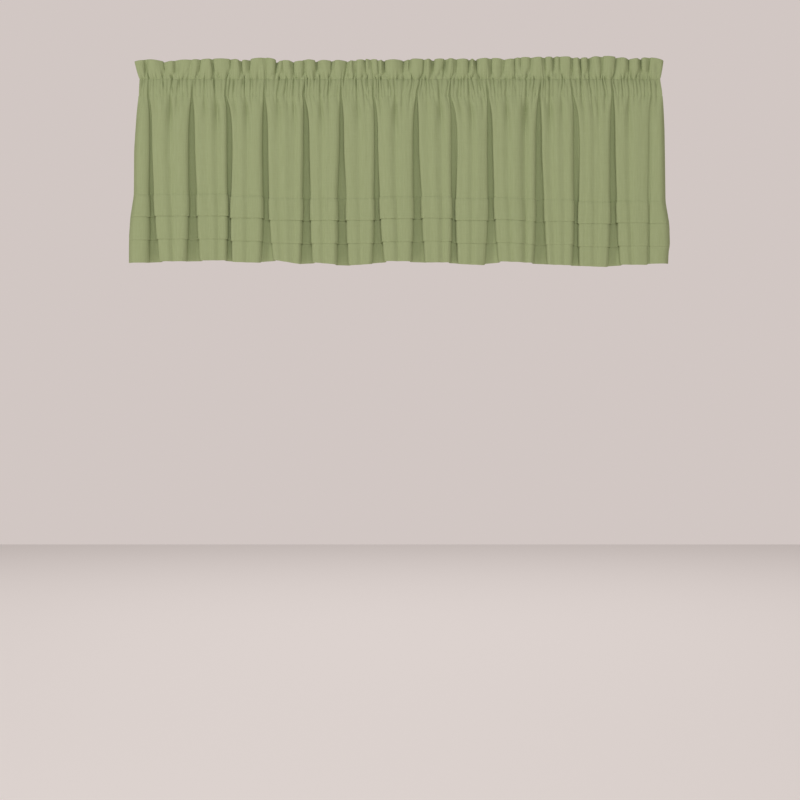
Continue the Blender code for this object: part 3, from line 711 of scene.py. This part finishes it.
BACK_GATHER = 0.9          # the pocket's back is free, so its gathers stand out further
SEAM_STAND = 0.4
SEAM_REACH = 0.7           # how far up the ruffle the gathers of the stitching reach
SEAM_FADE = 1.5
SEAM_DENT = 0.85           # a gather's depth in the upper stitching, as a part of its depth
DENT_REACH = 0.12          # it is all there this far down the pocket
FORK_TAIL = 0.15           # and the forks of the ruffle have run out here
FRONT_FULLNESS = 1.25      # power by which the pocket's front rounds into its foot
WALL_GAP = 1.0             # between the pocket's walls at the lower stitching
SEAM_PINCH = 0.6           # how far the upper stitching draws the cloth in
PINCH_REACH = 0.07         # on either side of it, as a share of the ruffle or the pocket

# The gather that each crease runs into gives the crease its column.
taken = set()
crease_places = []
for crease in CREASES[1:-1]:
    free = [g.place for g in valleys if g.place not in taken]
    nearest = min(free, key=lambda place: abs(place - crease.seam))
    last_place = max(crease_places, default=seam_left)
    if abs(nearest - crease.seam) < PAIR_REACH and nearest > last_place:
        taken.add(nearest)
        crease_places.append(nearest)
    else:
        crease_places.append(max(crease.seam, last_place + CREASE_ROOM))
crease_places = np.array([seam_left] + crease_places + [seam_right])
crease_seams = np.array([crease.seam for crease in CREASES])
crease_tops = np.array([crease.top for crease in CREASES])
at_seam = smoothed(np.interp(column_place, crease_places, crease_seams), passes=6)

# Between the two rows of stitching the gathers wander: some slant, and some run together.
gather_places = np.array([seam_left] + [gather.place for gather in valleys] + [seam_right])
wander = rng.uniform(-WANDER, WANDER, len(gather_places))
room = np.diff(gather_places)
wander[1:-1] = np.clip(wander[1:-1], -WANDER_SHARE * room[:-1], WANDER_SHARE * room[1:])
wander[[0, -1]] = 0.0
at_seam += np.interp(column_place, gather_places, wander)
at_top = smoothed(np.interp(column_place, crease_places, crease_tops), passes=6)

frill_low, frill_high, frill_crest, frill_lean = np.zeros((4, len(column_place)))
crease_depths = np.array([crease.depth for crease in CREASES])
low_depths = crease_depths * rng.uniform(0.7, 1.4, len(CREASES))
high_depths = crease_depths * rng.uniform(0.5, 1.2, len(CREASES))
for index in range(len(CREASES) - 1):
    left = crease_places[index]
    right = crease_places[index + 1]
    mine = (column_place >= left) & (column_place <= right)
    along = (column_place[mine] - left) / (right - left)
    arch = np.sin(math.pi * along) ** rng.uniform(*LOBE_FLATNESS)
    narrow = mix(NARROW_ARCH, 1.0, min(1.0, (right - left) / WIDE_LOBE))
    tilt = LOBE_TILT * rng.uniform(-1.0, 1.0) * (along - 0.5)
    crest = mix(CREASES[index].crest, CREASES[index + 1].crest, along)
    crest = mix(CREASES[index].crest, crest, CREST_EASE)
    for wave, depths in ((frill_low, low_depths), (frill_high, high_depths)):
        depth = CREASE_STRENGTH * mix(depths[index], depths[index + 1], along)
        wave[mine] = depth * (1.0 - arch * narrow) - FRILL_BULGE + tilt
    notch = CREASE_DIP * mix(high_depths[index], high_depths[index + 1], along)
    frill_crest[mine] = crest - notch * (1.0 - arch)
for index, crease in enumerate(CREASES[1:-1], 1):
    slant = crease.top - crease.seam
    side = np.sign(slant) if abs(slant) > SLANT_LEAST else (-1.0) ** index
    away = np.abs(column_place - crease_places[index]) / LEAN_REACH
    frill_lean -= side * LEAN * crease.depth / DEEP_CREASE * away * np.exp(1.0 - away)
frill_low = smoothed(frill_low, passes=1)
frill_high = smoothed(frill_high, passes=1)
frill_crest = smoothed(frill_crest, passes=3)

pocket_relief = gather_relief(SEAM_DROP)
low_line = skirt_row(-SEAM_DROP, droop=0.0)
behind = low_line + np.array([0.0, WALL_GAP, 0.0])


# Forks: most creases take in one or two short ones that start at the stitching beside them.
# Dents are soft hollows in the ruffle's face, below its rolled edge.
Fork = namedtuple("Fork", "foot head reach depth")
FORK_CHANCE = 0.9
FORK_WIDTH = 1.35
FORK_START = 0.45          # the part of a fork's depth that it has at the stitching
FORK_DEEPENS = 4.0
forks = []
for place in crease_places[1:-1]:
    for side in (-1.0, 1.0):
        if rng.uniform() < FORK_CHANCE:
            foot = place + side * rng.uniform(3.5, 7.5)
            reach = rng.uniform(0.3, 0.75)
            forks.append(Fork(foot, place + side, reach, rng.uniform(2.8, 4.8)))
Dent = namedtuple("Dent", "place rise width length depth")
DENTS = [Dent(*values) for values in (
    (-409.0, 0.62, 4.0, 0.26, 2.6), (-361.0, 0.60, 4.5, 0.28, 2.6),
    (-297.0, 0.62, 4.0, 0.30, 2.4), (-228.0, 0.55, 5.0, 0.25, 1.6),
    (-176.0, 0.75, 4.0, 0.25, 2.0), (-128.0, 0.70, 5.0, 0.30, 2.0),
    (-75.0, 0.68, 4.0, 0.30, 2.4), (20.0, 0.60, 5.0, 0.30, 1.4), (66.0, 0.70, 4.5, 0.30, 2.6),
    (160.0, 0.60, 5.0, 0.30, 1.6), (197.0, 0.70, 4.0, 0.25, 2.2), (250.0, 0.65, 4.0, 0.30, 2.4),
    (312.0, 0.60, 6.0, 0.30, 1.6), (357.0, 0.60, 5.0, 0.30, 1.6), (410.0, 0.55, 4.0, 0.28, 2.6),
)]


def fork_relief(rise):
    """How far the forks and the dents sink into the ruffle at a share of its height."""
    relief = np.zeros(len(column_place))
    for fork in forks:
        if rise < fork.reach:
            share = rise / fork.reach
            away = (column_place - mix(fork.foot, fork.head, share)) / FORK_WIDTH
            deep = fork.depth * min(1.0, FORK_START + FORK_DEEPENS * rise)
            relief += deep * (1.0 - share ** 2) * np.exp(-away ** 2)
    for dent in DENTS:
        away = (column_place - dent.place) / dent.width
        relief += dent.depth * np.exp(-away ** 2 - ((rise - dent.rise) / dent.length) ** 2)
    return relief


def frill_row(rise, layer, lift=0.0):
    """A row of the ruffle: its share of the lobes' height, and 1 for its front layer."""
    opening = mix(FRILL_FOOT, 1.0, rise)
    x = mix(at_seam, at_top, rise ** FRILL_SPREAD) + frill_lean * opening
    near_seam = max(0.0, 1.0 - rise / SEAM_REACH) ** SEAM_FADE
    y = mix(frill_low, frill_high, rise) * opening
    y = y + (SEAM_DENT * pocket_relief - SEAM_STAND) * near_seam
    y = y + pucker_relief(frill_crest * rise) + fork_relief(rise)
    y = y + SEAM_PINCH * max(0.0, 1.0 - rise / PINCH_REACH)
    line = smoothed(np.column_stack([x, y]), passes=1)
    half = 0.5 * FRILL_GAP * (1.0 + FRILL_PUFF * math.sin(math.pi * rise)) * layer
    line = line + front_directions(line) * half
    return np.column_stack([line, frill_crest * rise + lift])


def fullness(share):
    """How far the pocket is open, as a part of its greatest, at a share of its drop."""
    return (1.0 - abs(2.0 * share - 1.0) ** POCKET_SQUARENESS) ** (1.0 / POCKET_SQUARENESS)


def pocket_row(share, layer):
    """A row of the pocket's front wall or, where layer is -1, of its back wall."""
    top = frill_row(0.0, layer)
    ease = share * share * (3.0 - 2.0 * share)
    x = mix(top[:, 0], low_line[:, 0], ease)
    foot = low_line[:, 1] if layer > 0 else behind[:, 1]
    dent = 1.0 - (1.0 - SEAM_DENT) * (1.0 - min(1.0, share / DENT_REACH)) ** 2
    fork_end = fork_relief(0.0) * max(0.0, 1.0 - share / FORK_TAIL)
    height = -SEAM_DROP * share
    pinch = SEAM_PINCH * max(0.0, 1.0 - share / PINCH_REACH)
    top_flat = top[:, 1] - SEAM_DENT * pocket_relief - pucker_relief(0.0) - fork_relief(0.0)
    top_flat = top_flat - SEAM_PINCH
    foot_flat = foot - pocket_relief - pucker_relief(-SEAM_DROP)
    if layer > 0:
        y = mix(top_flat, foot_flat, 1.0 - (1.0 - share) ** FRONT_FULLNESS)
        y = y - FRONT_SWELL * math.sin(math.pi * share)
        y = y + pocket_relief * dent + pucker_relief(height) + fork_end + pinch
    else:
        y = mix(top_flat, foot_flat, share ** 2) + POCKET_BACK * fullness(share)
        y = y + pocket_relief * dent * (1.0 + BACK_GATHER * math.sin(math.pi * share))
        y = y - pucker_relief(height) + pinch
    return np.column_stack([x, y, np.full(len(x), height)])


BACK_SHARES = (0.96, 0.9, 0.8, 0.67, 0.5, 0.33, 0.2, 0.1, 0.04)
FRONT_SHARES = (0.02, 0.06, 0.12, 0.2, 0.28, 0.37, 0.46, 0.55, 0.64, 0.73, 0.82, 0.9, 0.96)
BACK_RISES = (0.0, 0.04, 0.11, 0.22, 0.36, 0.52, 0.7, 0.86, 0.95)
FRONT_RISES = (
    0.975, 0.92, 0.84, 0.75, 0.66, 0.57, 0.48, 0.39, 0.31, 0.23, 0.16, 0.1, 0.055, 0.025,
)
EDGE_DROP = 1.4            # the turned-over layer's edge lies this far below its stitching

# The edge is turned under: how far behind the pocket's front each of its rows lies, and
# how far above the lower stitching.
TURNED_EDGE = (
    (0.62, 3.0), (0.62, -0.8 * EDGE_DROP), (0.9, -EDGE_DROP), (1.15, -0.7 * EDGE_DROP),
    (WALL_GAP, 0.0),
)
back_rows = [low_line + np.array([0.0, away, above]) for away, above in TURNED_EDGE]
back_rows += [pocket_row(share, -1.0) for share in BACK_SHARES]
back_rows += [frill_row(0.0, -1.0)]
pocket_back = sew_sheet("pocket_back", back_rows)
pocket_back.data.materials.append(weave)
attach(pocket_back, "root")
heading_rows = [frill_row(rise, -1.0) for rise in BACK_RISES]
for turn_share in (-1.0, -0.6, 0.0, 0.6, 1.0):
    lift = 0.5 * FRILL_GAP * math.sqrt(1.0 - turn_share ** 2)
    heading_rows.append(frill_row(1.0, turn_share, lift))
heading_rows += [frill_row(rise, 1.0) for rise in FRONT_RISES]
heading_rows += [frill_row(0.0, 1.0)]
heading_rows += [pocket_row(share, 1.0) for share in FRONT_SHARES]
heading_rows += [low_line]
heading = sew_sheet("heading_cloth", heading_rows)
heading.data.materials.append(weave)
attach(heading, "root")
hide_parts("heading")


# Stitching. Rows of lockstitch in spun polyester thread, dyed to match the cloth: the
# pocket's two rows, the tucks' rows, the hem's row and one row down each side hem. One
# stitch is made, and copied along each row at its true pitch on the flat cloth.
STITCH_PITCH = 3.0
STITCH_LENGTH = 2.3
STITCH_INSET = 1.5         # of a side hem's row, from the hem's inner edge
THREAD_REACH = 0.17        # half the thread's thickness
LOOK_AHEAD = 0.3           # the row's direction is taken over this distance
Ring = namedtuple("Ring", "share lift reach")
STITCH = (
    Ring(0.0, -0.10, 0.7),
    Ring(0.25, 0.10, 1.0),
    Ring(0.75, 0.10, 1.0),
    Ring(1.0, -0.10, 0.7),
)


def stitch_row(line, away, along):
    """Corners of the stitches on a row of points: each faces away from the cloth."""
    starts = np.arange(0.5 * STITCH_PITCH, along[-1] - STITCH_PITCH, STITCH_PITCH)
    rings = []
    for ring in STITCH:
        here = starts + STITCH_LENGTH * ring.share
        centre = point_at(here, along, line)
        ahead = point_at(here + LOOK_AHEAD, along, line)
        facing = point_at(here, along, away)
        facing /= np.linalg.norm(facing, axis=1)[:, None]
        across = np.cross(facing, ahead - centre)
        across /= np.linalg.norm(across, axis=1)[:, None]
        reach = THREAD_REACH * ring.reach
        middle = centre + facing * (0.5 * CLOTH_THICKNESS + ring.lift)
        rings.append([
            middle + facing * reach, middle + across * reach,
            middle - facing * reach, middle - across * reach,
        ])
    return np.array(rings).transpose(2, 0, 1, 3).reshape(-1, 3)


def sew_stitches(name, rows):
    """One piece of thread work from rows of stitches."""
    points = np.concatenate([stitch_row(*row) for row in rows])
    sides = []
    for ring in range(len(STITCH) - 1):
        for corner in range(4):
            here = 4 * ring + corner
            beside = 4 * ring + (corner + 1) % 4
            sides.append((here, beside, beside + 4, here + 4))
    last = 4 * (len(STITCH) - 1)
    sides += [(3, 2, 1, 0), (last, last + 1, last + 2, last + 3)]
    corners = 4 * len(STITCH)
    first = np.arange(len(points) // corners)[:, None, None] * corners
    faces = (first + np.array(sides)).reshape(-1, 4)
    piece = lay_out(name, points, faces.tolist())
    bpy.ops.object.mode_set(mode="EDIT")
    bpy.ops.mesh.select_all(action="SELECT")
    bpy.ops.mesh.normals_make_consistent(inside=False)
    bpy.ops.object.mode_set(mode="OBJECT")
    bpy.ops.object.shade_smooth()
    piece.data.materials.append(thread)
    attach(piece, "root")
    return piece


# Spun polyester sewing thread: a little smoother and paler than the cloth, with the
# twist's faint unevenness.
TWIST = 0.8                # real plies cross every 0.4 mm, drawn wider so that they show
thread = bpy.data.materials.new("spun_polyester_thread_sage")
thread.use_nodes = True
thread_tree = thread.node_tree
thread_shader = thread_tree.nodes["Principled BSDF"]
thread_shader.inputs["Roughness"].default_value = 0.6
thread_shader.inputs["Specular IOR Level"].default_value = 0.3
place = add_node(thread_tree, "ShaderNodeTexCoord")
plies = add_node(
    thread_tree, "ShaderNodeTexNoise", {"Scale": 1000.0 / TWIST, "Detail": 1.0},
    {"Vector": place.outputs["Object"]},
)
thread_colour = add_node(
    thread_tree, "ShaderNodeMix", {"data_type": "RGBA"}, {0: plies.outputs["Fac"]}
)
thread_colour.inputs[6].default_value = linear("909b70")
thread_colour.inputs[7].default_value = linear("a8b288")
thread_tree.links.new(thread_colour.outputs[2], thread_shader.inputs["Base Color"])
ply_bump = add_node(
    thread_tree, "ShaderNodeBump", {"Strength": 0.2, "Distance": 0.0001},
    {"Height": plies.outputs["Fac"]},
)
thread_tree.links.new(ply_bump.outputs["Normal"], thread_shader.inputs["Normal"])


upper_front = frill_row(0.0, 1.0)
upper_back = frill_row(0.0, -1.0)
pocket_stitching = sew_stitches("pocket_stitching", [
    (upper_front, faces_of(upper_front), flat_across),
    (upper_back, -faces_of(upper_back), flat_across),
    (low_line, faces_of(low_line), flat_across),
    (behind, -faces_of(behind), flat_across),
])
tuck_line = skirt_row(TUCK_SEAM)
under_tuck = skirt_row(UNDER_TUCK_SEAM)
tuck_stitching = sew_stitches("tuck_stitching", [
    (tuck_line, faces_of(tuck_line), flat_across),
    (tuck_line, -faces_of(tuck_line), flat_across),
    (under_tuck, -faces_of(under_tuck), flat_across),
])
hem_line = skirt_row(HEM_SEAM, -0.66)
side_rows = []
for side in (-1.0, 1.0):
    for offset, facing in ((0.0, 1.0), (SIDE_HEM_BACK, -1.0)):
        points = []
        for drop, droop in zip(side_drops, side_droops):
            line = skirt_row(-drop, 0.0, droop)
            points.append(beside_edge(line, side, SIDE_HEM_WIDTH - STITCH_INSET, offset))
        points = np.array(points)
        away = np.tile([0.0, -facing, 0.0], (len(points), 1))
        side_rows.append((points, away, side_drops - side_drops[0]))
hem_stitching = sew_stitches(
    "hem_stitching", [(hem_line, -faces_of(hem_line), flat_across)] + side_rows
)


# Studio. A pale floor well below the valance, and soft white light: a panel at the left, a
# fill above and behind the camera, a broad one over the floor behind, and pale
# surroundings. The floor glows a little, so that it looks as pale from every side.
FLOOR_HEIGHT = -1.35
FLOOR_GLOW = 0.2
bpy.ops.mesh.primitive_plane_add(size=14.0, location=(0.0, 0.0, FLOOR_HEIGHT))
floor = bpy.context.object
floor.name = "floor"
floor.select_set(False)
paint = bpy.data.materials.new("matt_pale_floor")
paint.use_nodes = True
paint_shader = paint.node_tree.nodes["Principled BSDF"]
paint_shader.inputs["Base Color"].default_value = linear("e4dedb")
paint_shader.inputs["Roughness"].default_value = 0.9
paint_shader.inputs["Emission Color"].default_value = linear("f2e6e2")
paint_shader.inputs["Emission Strength"].default_value = FLOOR_GLOW
floor.data.materials.append(paint)


def add_panel(name, location, aim, size, power):
    """A square soft light at a place, turned to a point."""
    data = bpy.data.lights.new(name, "AREA")
    data.size = size
    data.energy = power
    lamp = bpy.data.objects.new(name, data)
    lamp.location = location
    lamp.rotation_euler = (Vector(aim) - Vector(location)).to_track_quat("-Z", "Y").to_euler()
    bpy.context.scene.collection.objects.link(lamp)


CLOTH_MIDDLE = (0.0, 0.0, -0.15)
add_panel("key_light", (-2.7, -2.3, 0.8), CLOTH_MIDDLE, size=0.9, power=33.0)
add_panel("fill_light", (0.2, -3.6, 0.3), CLOTH_MIDDLE, size=0.8, power=47.5)
add_panel("back_light", (0.0, 3.6, 3.2), (0.0, 1.5, FLOOR_HEIGHT), size=6.0, power=120.0)
LIT_STRENGTH = 0.32        # what the surroundings give the cloth
SEEN_STRENGTH = 0.72       # and how bright they look behind it
world = bpy.data.worlds.new("studio")
bpy.context.scene.world = world
world.use_nodes = True
surroundings = world.node_tree.nodes["Background"]
surroundings.inputs["Color"].default_value = linear("f2e6e2")
seen = add_node(world.node_tree, "ShaderNodeLightPath")
brightness = add_node(
    world.node_tree, "ShaderNodeMapRange", {"To Min": LIT_STRENGTH, "To Max": SEEN_STRENGTH},
    {"Value": seen.outputs["Is Camera Ray"]},
)
world.node_tree.links.new(brightness.outputs["Result"], surroundings.inputs["Strength"])
bpy.context.scene.view_settings.view_transform = "Standard"

bpy.context.view_layer.update()
